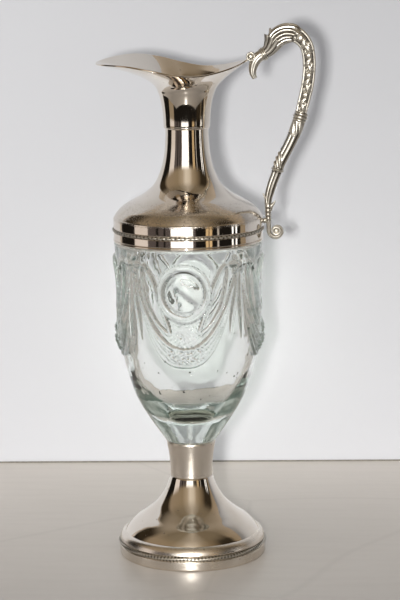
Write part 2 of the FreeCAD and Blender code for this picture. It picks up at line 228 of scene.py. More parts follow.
class Bench:
    # the node tree of one material or of the world; colours are given as red, green and blue
    def __init__(self, tree):
        self.tree = tree
        tree.nodes.clear()

    def add(self, kind, settings=None, inputs=None, output=0):
        node = self.tree.nodes.new("ShaderNode" + kind)
        for name, value in (settings or {}).items():
            if name == "ramp":
                ramp = node.color_ramp
                ramp.interpolation = value.get("blend", "LINEAR")
                stops = value["stops"]
                while len(ramp.elements) < len(stops):
                    ramp.elements.new(0.5)
                for element, (position, colour) in zip(ramp.elements, stops):
                    element.position = position
                    element.color = (*colour, 1)
            else:
                setattr(node, name, value)
        for name, value in (inputs or {}).items():
            if isinstance(value, Signal):
                self.tree.links.new(value.socket, node.inputs[name])
            elif isinstance(value, tuple) and len(node.inputs[name].default_value) == 4:
                node.inputs[name].default_value = (*value, 1)
            else:
                node.inputs[name].default_value = value
        return Signal(self, node.outputs[output]) if len(node.outputs) else None

    def outputOf(self, signal, name):
        return Signal(self, signal.socket.node.outputs[name])

    def objectPlace(self):
        return self.add("TexCoord", output=3)

    def axes(self, vector):
        split = self.add("SeparateXYZ", None, {0: vector})
        return split, self.outputOf(split, "Y"), self.outputOf(split, "Z")

    def noise(self, vector, scale, detail=3.0, roughness=0.5):
        return self.add("TexNoise", None,
                        {"Vector": vector, "Scale": scale, "Detail": detail, "Roughness": roughness})

    def stretched(self, vector, amounts):
        return self.add("VectorMath", {"operation": "MULTIPLY"}, {0: vector, 1: amounts})

    def bendPlace(self, vector, scale, amount):
        # a place pushed about by soft noise, for lines that wander
        drift = self.outputOf(self.noise(vector, scale, 2), "Color")
        push = self.add("VectorMath", {"operation": "SCALE"}, {0: drift, "Scale": amount})
        return self.add("VectorMath", {"operation": "ADD"}, {0: vector, 1: push})

    def step(self, signal, low, high):
        # 0 below low, 1 above high
        return self.add("MapRange", {"interpolation_type": "SMOOTHSTEP"},
                        {"Value": signal, "From Min": low, "From Max": high})

    def blend(self, factor, first, second):
        return self.add("Mix", {"data_type": "RGBA", "clamp_factor": False},
                        {0: factor, 6: first, 7: second}, 2)

    def bump(self, height, strength, distance):
        return self.add("Bump", None,
                        {"Strength": strength, "Distance": distance, "Height": height})


def newMaterial(name):
    material = bpy.data.materials.new(name)
    material.use_nodes = True
    return material, Bench(material.node_tree)


def finishMaterial(bench, inputs):
    shader = bench.add("BsdfPrincipled", None, inputs)
    bench.add("OutputMaterial", None, {"Surface": shader})


plate = {
    "tone": (0.79, 0.735, 0.665), "deepTone": (0.68, 0.61, 0.52), "speck": (0.10, 0.075, 0.05),
    "castTone": (0.60, 0.575, 0.515), "dirt": (0.050, 0.040, 0.028),
}


def polishedPlate(name, roughness, haze, ringMarks, mottle=None):
    material, bench = newMaterial(name)
    place = bench.objectPlace()
    x, y, z = bench.axes(place)
    cloud = bench.noise(place, 28, 4)
    fine = bench.noise(place, 900, 2)
    specks = bench.step(bench.noise(place, 420, 1.5, 0.4), 0.755, 0.775)
    # turning marks follow the radius and height, so they run round the piece
    radius = (x * x + y * y) ** 0.5
    ringPlace = bench.add("CombineXYZ", None, {0: radius * 2600, 1: z * 2600, 2: 0.0})
    rings = bench.noise(ringPlace, 1.0, 2)
    colour = bench.blend(bench.step(cloud, 0.42, 0.75), plate["tone"], plate["deepTone"])
    colour = bench.blend(specks * 0.85, colour, plate["speck"])
    rough = roughness + haze * bench.step(cloud, 0.35, 0.8) + specks * 0.4 + ringMarks * 0.12 * rings
    height = cloud * 0.35 + fine * 0.05 + rings * ringMarks * 0.5
    if mottle:
        # a belt of fine pitting between two heights
        low, high = mottle
        belt = bench.step(z, low - 0.0015, low) * (1.0 - bench.step(z, high - 0.004, high + 0.002))
        pits = bench.step(bench.noise(place, 1100, 2, 0.6), 0.50, 0.66) * belt
        colour = bench.blend(pits * 0.55, colour, plate["speck"])
        rough = rough + pits * 0.22 + belt * 0.05
        height = height + pits * -0.25
    finishMaterial(bench, {"Base Color": colour, "Metallic": 1.0, "Roughness": rough,
                           "Normal": bench.bump(height, 0.14, 0.0006)})
    return material


def castPlate(name, patches=0.4):
    material, bench = newMaterial(name)
    place = bench.objectPlace()
    hollow = bench.add("Attribute", {"attribute_name": "hollow"}, output=2)
    grain = bench.noise(place, 700, 3)
    cloud = bench.noise(place, 120, 3)
    dirt = bench.step(hollow + (cloud - 0.5) * patches, 0.24, 0.88) * 0.92
    colour = bench.blend(dirt, plate["castTone"], plate["dirt"])
    rough = 0.30 + dirt * 0.3 + cloud * 0.12
    finishMaterial(bench, {"Base Color": colour, "Metallic": 1.0, "Roughness": rough,
                           "Normal": bench.bump(grain * 0.3 + cloud * 0.4, 0.2, 0.0005)})
    return material


def clearGlass(name):
    material, bench = newMaterial(name)
    place = bench.objectPlace()
    ripple = bench.noise(place, 55, 2)
    chill = bench.noise(place, 260, 2)
    colour = bench.blend(bench.step(ripple, 0.3, 0.7), (0.999, 0.999, 0.996), (0.995, 0.996, 0.990))
    # painted shade: the glass's colour turns dark green-black in the relief's valleys and along its edge
    # lines
    valleyShade = bench.add("Attribute", {"attribute_name": "hollow"}, output=2)
    colour = bench.blend(bench.step(valleyShade, 0.10, 0.80) * 0.94, colour, (0.10, 0.155, 0.13))
    # a few dark seeds caught in the lower glass
    height = bench.axes(place)[2]
    lowGlass = 1.0 - bench.step(height, 0.142, 0.150)
    seeds = bench.step(bench.noise(place, 260, 1, 0.3), 0.765, 0.78) * lowGlass
    colour = bench.blend(seeds, colour, (0.02, 0.025, 0.02))
    clear = bench.add("BsdfPrincipled", None, {
        "Base Color": colour, "Roughness": 0.0, "IOR": 1.47, "Transmission Weight": 1.0,
        "Normal": bench.bump(ripple + chill * 0.08, 0.25, 0.0012)})
    # its shadow is only a little darker than the light round it
    facing = bench.outputOf(bench.add("LayerWeight", None, {"Blend": 0.5}), "Facing")
    thin = bench.add("BsdfTransparent", None, {"Color": (0.90, 0.92, 0.90)})
    thick = bench.add("BsdfTransparent", None, {"Color": (0.10, 0.12, 0.10)})
    shade = bench.add("MixShader", None, {0: facing ** 2.6, 1: thin, 2: thick})
    shadowRay = bench.outputOf(bench.add("LightPath"), "Is Shadow Ray")
    shader = bench.add("MixShader", None, {0: shadowRay, 1: clear, 2: shade})
    tint = bench.add("VolumeAbsorption", None, {"Color": (0.62, 0.9, 0.78), "Density": 5.0})
    bench.add("OutputMaterial", None, {"Surface": shader, "Volume": tint})
    return material


def plaster(name):
    material, bench = newMaterial(name)
    place = bench.objectPlace()
    grain = bench.noise(place, 500, 4)
    colour = bench.blend(grain, (0.15, 0.142, 0.122), (0.38, 0.36, 0.31))
    finishMaterial(bench, {"Base Color": colour, "Roughness": 0.9,
                           "Normal": bench.bump(grain, 0.5, 0.0004)})
    return material


def greenFelt(name):
    material, bench = newMaterial(name)
    place = bench.objectPlace()
    fibre = bench.noise(place, 1400, 4, 0.7)
    cloud = bench.noise(place, 90, 2)
    colour = bench.blend(fibre * 0.6 + cloud * 0.4, (0.02, 0.055, 0.03), (0.07, 0.15, 0.085))
    finishMaterial(bench, {"Base Color": colour, "Roughness": 0.95, "Sheen Weight": 0.4,
                           "Normal": bench.bump(fibre, 0.8, 0.0005)})
    return material


silverPlate = polishedPlate("silverPlate", 0.05, 0.07, 0.0, (0.2325, 0.2455))
turnedPlate = polishedPlate("turnedPlate", 0.17, 0.08, 1.0)
satinPlate = polishedPlate("satinPlate", 0.24, 0.08, 0.8)
castSilver = castPlate("castSilver")
ropeSilver = castPlate("ropeSilver", 0.08)
pressedGlass = clearGlass("pressedGlass")
# the plaster finish also paints the shadow strip where the table meets the wall
plasterAndGapShadow = plaster("plasterAndGapShadow")
baseFelt = greenFelt("baseFelt")
print("materials made")


foot = {
    "dome": [(45.7, 15.9), (45.2, 16.7), (42.9, 19.7), (38.7, 23.7), (32.0, 28.5), (25.0, 34.4),
             (20.0, 41.0), (16.5, 48.0), (14.4, 54.0)],
    "sheet": 1.2, "steps": 192, "edgeRadius": 50.0, "edgeWall": 2.6,
    "rope": {"ringRadius": 49.4, "height": 8.4, "wireRadius": 1.3, "beads": 134, "lobeDepth": 0.8,
             "squash": 1.05, "dirt": 1.3},
}


def footDome():
    outer = smoothLine(foot["dome"], 7)
    return spinOutline("footDome", sheetOutline(outer, foot["sheet"]), foot["steps"])


def footEdge():
    radius = foot["edgeRadius"]
    inner = radius - foot["edgeWall"]
    topRoll = smoothLine([(44.4, 16.0), (45.6, 15.95), (46.9, 15.5), (48.0, 14.65), (48.85, 13.5),
                          (49.45, 12.2), (49.8, 10.95)], 4)
    # a shallow groove for the rope, then the plain lower wall
    wall = [(49.88, 10.75), (49.8, 10.45), (49.2, 10.1), (48.7, 9.4), (48.6, 8.4), (48.7, 7.4),
            (49.3, 6.7), (49.8, 6.5), (49.95, 6.3), (49.96, 6.0), (49.97, 3.5), (50.0, 1.4),
            (49.98, 0.9), (49.85, 0.4), (49.5, 0.0)]
    under = [(inner + 0.3, 0.0), (inner, 0.3), (inner, 11.0), (46.0, 13.6), (44.6, 14.3)]
    return spinOutline("footEdge", topRoll + wall + under, foot["steps"])


def twistedWire(name, ringRadius, height, wireRadius, beads, lobeDepth, squash, dirt):
    # a ring whose section swells and shrinks slantwise, as a row of small twisted beads; the primitive
    # takes 256 segments at most, fewer than two for a bead, so the beads are coarser and uneven
    startClean()
    bpy.ops.mesh.primitive_torus_add(major_radius=ringRadius * mm, minor_radius=wireRadius * mm,
                                     major_segments=256, minor_segments=16, location=(0, 0, 0))
    piece = bpy.context.object
    piece.name = name
    points = readPoints(piece)
    around = np.arctan2(points[:, 1], points[:, 0])
    section = np.arctan2(points[:, 2], np.hypot(points[:, 0], points[:, 1]) - ringRadius)
    lobe = np.abs(np.cos((section - around * beads) / 2))
    size = wireRadius * (1 - lobeDepth * (1 - lobe) ** 1.3)
    newRadius = ringRadius + np.cos(section) * size
    moved = np.stack([np.cos(around) * newRadius, np.sin(around) * newRadius,
                      height + np.sin(section) * size * squash], axis=1)
    writePoints(piece, moved)
    noteHollow(piece, dirt * (1 - lobe) ** 1.1)
    bpy.ops.object.shade_smooth()
    return piece


def feltPad():
    radius = foot["edgeRadius"] - foot["edgeWall"]
    outline = [(0.0, 0.0), (radius * 0.5, 0.0), (radius - 0.4, 0.0), (radius - 0.05, 0.3),
               (radius - 0.05, 1.0), (radius - 0.5, 1.2), (0.0, 1.2)]
    return spinOutline("feltPad", outline, 128, closed=False)


fit(footDome(), ["foot_trumpet"], silverPlate)
fit(footEdge(), ["foot_flange"], turnedPlate)
fit(twistedWire("footRope", **foot["rope"]), ["foot_rope_band"], ropeSilver)
fit(feltPad(), ["base_pad"], baseFelt)
print("foot made")


cup = {"wall": [(14.4, 54.0), (14.42, 57.5), (14.5, 61.0), (15.2, 69.0), (16.8, 78.5)], "sheet": 1.2}


def stemCup():
    outer = smoothLine(cup["wall"], 6)
    outline = sheetOutline(outer, cup["sheet"])[:-1]
    floorLine = [(outline[-1][0], 55.2), (0.0, 55.2), (0.0, 54.0), (14.2, 54.0)]
    return spinOutline("stemCup", outline[:-1] + floorLine, 128)


fit(stemCup(), ["stem_cup"], satinPlate)
print("cup made")


glass = {
    "bowl": [(17.2, 79.5), (20.8, 84.6), (26.5, 92.8), (32.3, 102.0), (37.0, 111.0), (42.5, 127.5),
             (45.6, 142.0), (47.0, 160.0), (48.0, 180.0), (49.0, 200.0), (50.0, 215.4)],
    "inside": [(43.4, 234.0), (44.0, 214.0), (44.2, 200.0), (43.6, 180.0), (42.8, 160.0), (41.0, 142.0),
               (37.2, 127.5), (29.8, 112.0), (18.0, 101.2), (8.0, 97.6), (0.0, 97.0)],
    "steps": 384, "reliefLow": 130.0, "reliefHigh": 214.5, "reliefRows": 122,
    "knotHeight": 207.0, "swagDepth": (53.0, 69.0), "medallionHeight": 188.0, "patternRadius": 48.0,
}


def bump01(distance, width):
    # a round ridge: 1 on its line, 0 at its width
    t = unit(np.abs(distance) / width)
    return np.cos(t * math.pi / 2) ** 2


def strokeDistance(u, z, path):
    # nearest distance to a line of points, and how far along it that is, 0 to 1
    best = np.full(u.shape, 1e9)
    share = np.zeros(u.shape)
    count = len(path) - 1
    for i, ((u0, z0), (u1, z1)) in enumerate(zip(path, path[1:])):
        du, dz = u1 - u0, z1 - z0
        t = unit(((u - u0) * du + (z - z0) * dz) / (du * du + dz * dz))
        d = np.hypot(u - u0 - t * du, z - z0 - t * dz)
        closer = d < best
        best = np.where(closer, d, best)
        share = np.where(closer, (i + t) / count, share)
    return best, share


def pressedRelief(angle, z):
    # height of the moulded pattern in millimetres; it repeats four times round the bowl
    quarter = math.pi / 2
    local = (angle + quarter / 2) % quarter - quarter / 2
    turn = np.floor((angle + quarter / 2) / quarter)
    u = local * glass["patternRadius"]
    side = np.abs(u)
    knotU = quarter / 2 * glass["patternRadius"]
    v = unit(side / knotU)
    # the garland: strands between an inner and an outer hanging curve
    depths = np.linspace(0, 1, 33)
    inner, outer = glass["swagDepth"]
    strand = np.full(u.shape, -1.0)
    curves = []
    for k in depths:
        depth = inner + (outer - inner) * k
        curves.append(glass["knotHeight"] - depth * (1 - v ** (2.3 + 0.55 * k)))
    curves = np.array(curves)
    # share across the band, found between neighbouring curves (they run downwards)
    for i in range(len(depths) - 1):
        top, low = curves[i], curves[i + 1]
        inside = (z <= top) & (z > low)
        within = (top - z) / (top - low + 1e-6)
        strand = np.where(inside, depths[i] + (depths[i + 1] - depths[i]) * within, strand)
    bandWidth = curves[0] - curves[-1]
    inBand = strand >= 0
    k = unit(strand)
    crown = unit(k * 6) ** 0.5 * (1 - k) ** 0.8
    size = 1.0 + 4.6 * (1 - v) ** 0.8
    pleats = np.abs(np.sin(k * math.pi * 4.0))
    fruit = np.sin(u * 1.45 + 2.0 * np.sin(z * 0.7)) * np.sin(z * 1.25 + 1.3 * np.sin(u * 0.55 + turn))
    fruitShare = unit((17.0 - side) / 7.0) * unit(k * 4) * unit((0.86 - k) * 8)
    folds = 0.30 + 0.70 * (pleats + (1 - pleats) * 0.6 * fruitShare) ** 0.7
    band = size * crown * folds * np.clip(bandWidth / 6.0, 0.25, 1)
    band = band + fruitShare * (fruit - 0.2)
    # a sharp outer cord along the garland's lower edge
    cord = bump01(k - 0.92, 0.08) * 0.7
    height = np.where(inBand, band + cord, 0.0)
    # loose leaves that spill over the garland's inner edge
    mound = np.exp(-(u / 10.0) ** 2 - ((z - 157.0) / 8.0) ** 2)
    height = np.maximum(height, mound * (3.6 + 0.8 * fruit))
    # medallion with two raised rims and a domed centre
    dz = z - glass["medallionHeight"]
    ring = np.hypot(u, dz)
    oval = np.hypot(u / 17.8, (dz - 0.4) / 20.0)
    disc = np.where(ring < 12.6, 0.2 + 1.1 * domed(ring / 12.6), 0)
    roll = 2.0 * domed((oval - 0.86) / 0.14)
    inside = oval < 1.0
    height = np.where(inside, np.maximum(np.maximum(disc, roll), 0.2), height)
    # ribbon loops and tails from each knot towards the medallion
    loopPath = [(27.5, 206.0), (24.0, 194.0), (20.5, 181.0), (15.5, 170.5), (10.5, 162.5)]
    tailPath = [(knotU - 1.0, 202.0), (35.6, 186.0), (33.4, 170.0), (32.4, 156.0)]
    for direction in (-1, 1):
        tail, along = strokeDistance(u * direction, z, loopPath)
        width = 0.9 + 3.5 * np.sin(unit(along) ** 0.8 * math.pi) ** 0.8
        outline = domed((tail - width) / 1.25) * 2.3
        height = np.maximum(height, outline * ~inside)
        height = np.maximum(height, np.where((tail < width) & ~inside, 0.5, 0))
        # tail that hangs from the knot outside the garland
        hang, along = strokeDistance(u * direction, z, tailPath)
        width = 0.4 + 1.5 * np.sin(unit(along) * math.pi) ** 0.8
        fade = 1 - 0.8 * along ** 2
        height = np.maximum(height, domed(hang / width) * 1.3 * fade)
    # the knot: a cluster of petals round a button
    ku = knotU - side
    kz = z - glass["knotHeight"]
    reach = np.hypot(ku, kz)
    petal = np.arctan2(kz, ku)
    wave = np.cos(petal * 6)
    rosette = unit(1 - reach / (6.4 + 1.1 * wave)) ** 0.5 * (2.5 + 0.7 * wave)
    button = domed(reach / 2.6) * 3.7
    height = np.maximum(height, np.maximum(rosette, button))
    # painted shade: fine dark lines along the garland's lower edge, not pressed into the shape but
    # darkening the glass's colour
    line = np.where(inBand, bump01(k - 0.95, 0.07) + 0.6 * bump01(k - 0.80, 0.04), 0.0) * (1 - 0.7 * v)
    # the relief dies away towards the plain glass above and below
    return height * unit((214.0 - z) / 2.0), line, v


def glassVessel():
    bowl = smoothLine(glass["bowl"], 14)
    lower = [p for p in bowl if p[1] < glass["reliefLow"]][::3]
    heights = np.array([p[1] for p in bowl])
    radii = np.array([p[0] for p in bowl])
    relief = [(float(np.interp(z, heights, radii)), float(z))
              for z in np.linspace(glass["reliefLow"], glass["reliefHigh"], glass["reliefRows"])]
    peg = [(0.0, 57.0), (6.0, 57.0), (11.4, 57.0), (12.2, 57.8), (12.2, 70.0), (12.2, 78.4), (13.0, 79.0)]
    neck = [(50.0, 215.4), (49.9, 216.3), (49.4, 216.8), (47.9, 216.8), (47.6, 217.2), (47.6, 233.0),
            (46.9, 234.0), (45.2, 234.0)]
    inside = smoothLine(glass["inside"], 5)
    piece = spinOutline("glassVessel", peg + lower + relief + neck + inside, glass["steps"], closed=False)
    points = readPoints(piece)
    angle = np.arctan2(points[:, 1], points[:, 0])
    radius = np.hypot(points[:, 0], points[:, 1])
    z = points[:, 2]
    plain = np.interp(z, heights, radii)
    inRows = (z > glass["reliefLow"] + 0.1) & (z < glass["reliefHigh"] + 0.1)
    isOutside = (np.abs(radius - plain) < 0.6) & inRows
    swelling, line, towardsKnot = pressedRelief(angle, z)
    isInside = (radius < plain - 2.5) & (z > 97.5) & (z < 230) & (radius > 1.0)
    # the inner wall is slightly wavy
    waves = (0.22 * np.sin(angle * 5 + z * 0.05) + 0.14 * np.sin(angle * 9 - z * 0.11 + 1.0)
             + 0.12 * np.sin(z * 0.16))
    newRadius = radius + np.where(isOutside, swelling, 0) + np.where(isInside, waves, 0)
    points[:, :2] *= (newRadius / np.maximum(radius, 1e-6))[:, None]
    writePoints(piece, points)
    # painted shade: where the relief turns sharply inwards the light is lost, so the valleys are noted
    # and the glass material darkens its colour there
    rise = 0.55
    turn = rise / glass["patternRadius"]
    around = (pressedRelief(angle + turn, z)[0] + pressedRelief(angle - turn, z)[0]
              + pressedRelief(angle, z + rise)[0] + pressedRelief(angle, z - rise)[0])
    fading = 1 - 0.8 * unit((towardsKnot - 0.30) / 0.4)
    valleyShade = unit((around - 4 * swelling) / 1.8) * fading
    noteHollow(piece, np.where(isOutside, np.maximum(valleyShade, line), 0))
    return piece


fit(glassVessel(), ["glass_body"], pressedGlass)
print("glass made")


collar = {
    "wallRadius": 49.4, "bottom": 217.2, "innerRadius": 48.6, "shoulderBase": 232.5, "neckTop": 293.5,
    "shoulder": [(49.8, 233.3), (48.4, 235.6), (45.9, 238.7), (42.6, 241.3),
                 (36.6, 244.9), (29.6, 248.8), (22.5, 255.2), (18.0, 264.5), (15.8, 273.0), (14.8, 281.0),
                 (14.45, 287.5), (14.4, 293.3)],
    "sheet": 1.2, "steps": 224,
    "rope": {"ringRadius": 50.05, "height": 225.1, "wireRadius": 1.1, "beads": 156, "lobeDepth": 0.8,
             "squash": 0.95, "dirt": 1.3},
}


def shoulderShell():
    wallRadius = collar["wallRadius"]
    outer = smoothLine(collar["shoulder"], 5)
    sheet = sheetOutline(outer, collar["sheet"])
    half = len(outer)
    inner = [p for p in sheet[half + 1:-1] if p[1] > collar["shoulderBase"] - 1.0]
    low = [(collar["innerRadius"], collar["shoulderBase"] - 1.5),
           (collar["innerRadius"], collar["bottom"]), (wallRadius, collar["bottom"]),
           (wallRadius, 225.0), (49.6, 225.9), (50.05, 226.25), (50.2, 226.5), (50.2, 227.0),
           (50.2, 229.7), (50.2, 232.5), (50.2, 232.8), (50.12, 233.0), (50.0, 233.15)]
    return spinOutline("shoulderShell", sheet[:half + 1] + inner + low, collar["steps"])


def collarLowBand():
    wallRadius = collar["wallRadius"]
    low = collar["bottom"] + 1.8
    outline = [(wallRadius, low), (50.0, low), (50.2, low + 0.2), (50.2, low + 0.45), (50.2, 221.5),
               (50.2, 223.4), (50.2, 223.65), (50.05, 223.9), (49.6, 224.0), (wallRadius, 224.0)]
    return spinOutline("collarLowBand", outline, collar["steps"])


def collarBead():
    wallRadius = collar["wallRadius"]
    middle = collar["bottom"] + 0.9
    roll = arcPoints(wallRadius + 0.2, middle, 0.88, 0.88, -80, 80, 8)
    outline = [(wallRadius, middle - 0.85)] + roll + [(wallRadius, middle + 0.85)]
    return spinOutline("collarBead", outline, collar["steps"])


def neckWire():
    roll = arcPoints(14.5, 293.5, 1.05, 1.28, -90, 90, 8)
    return spinOutline("neckWire", [(14.43, 292.2)] + roll + [(14.43, 294.8)], 96)


fit(shoulderShell(), ["shoulder_mount"], silverPlate)
fit(collarLowBand(), ["collar_band"], silverPlate)
fit(collarBead(), ["collar_edge_bead"], silverPlate)
fit(twistedWire("collarRope", **collar["rope"]), ["collar_rope_band"], ropeSilver)
fit(neckWire(), ["neck_ring"], silverPlate)
print("collar and shoulder made")


spout = {
    "rim": [(41.5, 0.0, 338.6), (35.5, 8.6, 335.6), (23.0, 18.4, 332.2), (9.0, 27.5, 330.6),
            (-6.0, 34.5, 332.4), (-21.0, 37.6, 335.8), (-36.0, 34.0, 338.0), (-49.0, 24.0, 337.8),
            (-57.0, 12.0, 336.9), (-60.0, 0.0, 336.5)],
    "neck": [(14.4, 293.5), (14.55, 298.5), (14.95, 304.0), (15.75, 309.5), (17.0, 314.5), (17.9, 317.0)],
    "twist": math.tan(math.radians(3.5)), "sheet": 1.15, "columns": 160, "rows": 64,
}


def spoutShell():
    nearSide = [(x, -w, z - w * spout["twist"]) for x, w, z in spout["rim"][1:-1]][::-1]
    farSide = [(x, w, z + w * spout["twist"]) for x, w, z in spout["rim"]]
    loop = farSide + nearSide
    padded = loop[-3:] + loop + loop[:4]
    rimCurve = np.array(smoothLine(padded, 12))[3 * 12:-3 * 12]
    # even spacing round the rim
    lengths = np.concatenate([[0], np.cumsum(np.linalg.norm(np.diff(rimCurve, axis=0), axis=1))])
    neck = np.array(smoothLine(spout["neck"], 6))

    def place(u, v):
        share = u * lengths[-1]
        rim = np.stack([np.interp(share, lengths, rimCurve[:, i]) for i in range(3)], axis=1)
        reach = np.hypot(rim[:, 0], rim[:, 1])
        away = rim[:, :2] / reach[:, None]
        toSpout = unit(-away[:, 0]) ** 2
        lean = np.radians(38 - 28 * toSpout)
        pull = 10 + 20 * toSpout
        t = unit((v - 0.3) / 0.7)
        w0, w1, w2, w3 = (1 - t) ** 3, 3 * t * (1 - t) ** 2, 3 * t ** 2 * (1 - t), t ** 3
        flareR = w0 * 17.9 + w1 * 19.6 + w2 * (reach - pull * np.cos(lean)) + w3 * reach
        flareZ = w0 * 317.0 + w1 * 323.8 + w2 * (rim[:, 2] - pull * np.sin(lean)) + w3 * rim[:, 2]
        low = unit(v / 0.3) * (len(neck) - 1)
        neckR = np.interp(low, np.arange(len(neck)), neck[:, 0])
        neckZ = np.interp(low, np.arange(len(neck)), neck[:, 1])
        radius = np.where(v < 0.3, neckR, flareR)
        height = np.where(v < 0.3, neckZ, flareZ)
        moved = np.stack([away[:, 0] * radius, away[:, 1] * radius, height], axis=1)
        return moved, np.zeros(len(u))

    piece = gridPiece("spoutShell", spout["columns"], spout["rows"], place, capEnds=False)
    wall = piece.modifiers.new("wall", "SOLIDIFY")
    wall.thickness = spout["sheet"] * mm
    wall.offset = -1.0
    wall.use_even_offset = True
    edge = piece.modifiers.new("softEdge", "BEVEL")
    edge.width = 0.35 * mm
    edge.segments = 2
    edge.limit_method = "ANGLE"
    edge.angle_limit = math.radians(50)
    applyAll(piece)
    bpy.ops.object.shade_smooth()
    return piece


fit(spoutShell(), ["spout"], silverPlate)
print("spout made")


handle = {
    "arm": [(57.0, 347.0, 9.0, 9.0), (60.6, 351.6, 11.6, 9.8), (65.4, 354.2, 12.0, 10.0),
            (71.4, 354.0, 11.4, 9.6), (76.2, 350.9, 10.4, 9.2), (79.5, 346.2, 9.6, 9.0),
            (81.0, 340.6, 9.2, 8.8), (81.5, 333.8, 9.0, 8.6), (81.1, 326.4, 8.9, 8.4),
            (80.0, 318.8, 8.8, 8.2), (78.4, 312.0, 8.5, 8.0), (76.8, 305.6, 8.2, 7.8),
            (75.9, 301.6, 7.8, 7.6)],
    "stem": [(74.4, 296.4, 7.2, 7.0), (73.2, 292.6, 7.3, 7.1), (70.6, 286.0, 7.2, 7.0),
             (67.4, 279.4, 7.0, 6.9), (64.2, 273.4, 7.0, 6.9), (61.6, 268.0, 6.8, 6.7),
             (59.2, 261.3, 5.9, 6.1), (56.8, 255.0, 5.7, 5.9), (55.0, 249.0, 5.3, 5.6),
             (53.9, 243.6, 4.1, 5.0), (53.8, 236.0, 3.5, 4.5), (54.0, 229.6, 3.2, 4.1)],
    "beak": [(50.3, 340.4, 7.4, 7.0), (47.6, 338.4, 7.2, 6.6), (45.5, 335.4, 6.8, 6.0),
             (44.3, 331.8, 5.8, 5.0), (44.2, 328.2, 4.6, 4.2), (45.6, 324.9, 3.2, 3.0)],
    "cup": [(52.8, 341.8, 7.2, 7.2), (55.0, 343.8, 8.4, 8.2), (57.2, 347.2, 10.8, 9.6),
            (58.9, 350.8, 14.2, 11.2)],
    "upperCollar": ((51.4, 340.9), (0.86, 0.51), 4.7, 3.6),
    "middleCollar": ((75.4, 299.2), (0.3, 0.954), 5.0, 6.3),
    "scrollCentre": (59.2, 223.0), "postFoot": (50.1, 230.0),
}


def barPath(stations, steps=12):
    rows = np.array(smoothLine(stations, steps))
    lengths = np.concatenate([[0], np.cumsum(np.linalg.norm(np.diff(rows[:, :2], axis=0), axis=1))])
    return rows, lengths


def castBar(name, stations, columns, rows, relief, steps=12):
    # a bar in the XZ plane; relief(around, along, length) gives its moulding and where dirt stays
    path, lengths = barPath(stations, steps)

    def place(u, v):
        s = v * lengths[-1]
        centreX = np.interp(s, lengths, path[:, 0])
        centreZ = np.interp(s, lengths, path[:, 1])
        width = np.interp(s, lengths, path[:, 2]) / 2
        depth = np.interp(s, lengths, path[:, 3]) / 2
        ds = 0.4
        dx = np.interp(s + ds, lengths, path[:, 0]) - np.interp(s - ds, lengths, path[:, 0])
        dz = np.interp(s + ds, lengths, path[:, 1]) - np.interp(s - ds, lengths, path[:, 1])
        size = np.hypot(dx, dz) + 1e-9
        sideX, sideZ = dz / size, -dx / size
        phi = u * 2 * math.pi
        raised, hollow = relief(phi, s, lengths[-1])
        across = np.cos(phi) * (width + raised)
        out = np.sin(phi) * (depth + raised)
        moved = np.stack([centreX + sideX * across, out, centreZ + sideZ * across], axis=1)
        return moved, hollow

    return gridPiece(name, columns, rows, place)


def layAt(piece, centre, turn):
    # turned about its own middle and moved to a place in the XZ plane
    piece.data.transform(Matrix.Translation(Vector((centre[0], 0, centre[1])) * mm) @ turn)
    return piece


def ringBeads(name, centre, direction, radius, length):
    # three round beads side by side, spun upright and then laid along the bar
    outline = [(radius - 1.9, -length / 2)]
    bead = length / 6
    for index in (-1, 0, 1):
        size = radius - bead - (0.0 if index == 0 else 0.35)
        outline += arcPoints(size, index * 2 * bead, bead, bead, -80, 80, 6)
    outline.append((radius - 1.9, length / 2))
    piece = spinOutline(name, [(0.0, -length / 2)] + outline + [(0.0, length / 2)], 56, closed=False)
    turn = Vector((0, 0, 1)).rotation_difference(Vector((direction[0], 0, direction[1])))
    away = np.linalg.norm(readPoints(piece)[:, :2], axis=1)
    noteHollow(piece, unit((radius - 0.35 - away) / 0.8))
    return layAt(piece, centre, turn.to_matrix().to_4x4())


def armRelief(phi, s, length):
    # smooth rails along the inside and outside, with small scrolling leaves between them
    across = np.cos(phi)
    rail = unit((np.abs(across) - 0.82) / 0.06)
    groove = bump01(np.abs(across) - 0.79, 0.09)
    pitch = 13.0
    phase = s / pitch
    inCell = phase - np.floor(phase)
    leaf = np.zeros(len(phi))
    for centre, offset, slant, longHalf, wideHalf in (
            (0.12, 0.26, 0.6, 3.3, 1.7), (0.22, -0.48, -0.2, 1.9, 1.0), (0.42, -0.24, -0.6, 3.3, 1.7),
            (0.52, 0.50, 0.2, 1.9, 1.0), (0.75, 0.0, 0.0, 2.1, 2.4), (0.94, -0.2, 1.2, 1.6, 1.0)):
        for wrap in (-1, 0, 1):
            du = (inCell - centre - wrap) * pitch
            dv = (across - offset) * 4.2
            along = du * math.cos(slant) + dv * math.sin(slant)
            side = -du * math.sin(slant) + dv * math.cos(slant)
            body = unit(1 - np.hypot(along / longHalf, side / wideHalf) ** 2) ** 0.5
            leaf = np.maximum(leaf, body * (1.0 - 0.5 * bump01(side, 0.4)))
    raised = -0.75 * (1 - rail) + 1.0 * leaf * (1 - rail) - 0.15 * rail
    hollow = unit((0.42 - leaf) * 2.0) * 0.78 * (1 - rail)
    # long calyx leaves cover the first stretch
    calyx = unit((17.0 - s + 3.5 * np.abs(np.sin(phi * 3))) / 2.5)
    ridges = np.cos(phi * 15 + 0.16 * s * np.sin(phi))
    raised = raised * (1 - calyx) + calyx * (0.25 + 0.5 * ridges)
    hollow = hollow * (1 - calyx) + calyx * unit(-ridges * 1.8 + 0.15)
    lip = bump01(calyx - 0.5, 0.5)
    hollow = np.maximum(np.maximum(hollow, groove * (1 - calyx)), lip * 0.7)
    ends = unit(np.minimum(s, length - s) / 1.5)
    return raised * ends - 0.35 * groove * (1 - calyx), hollow


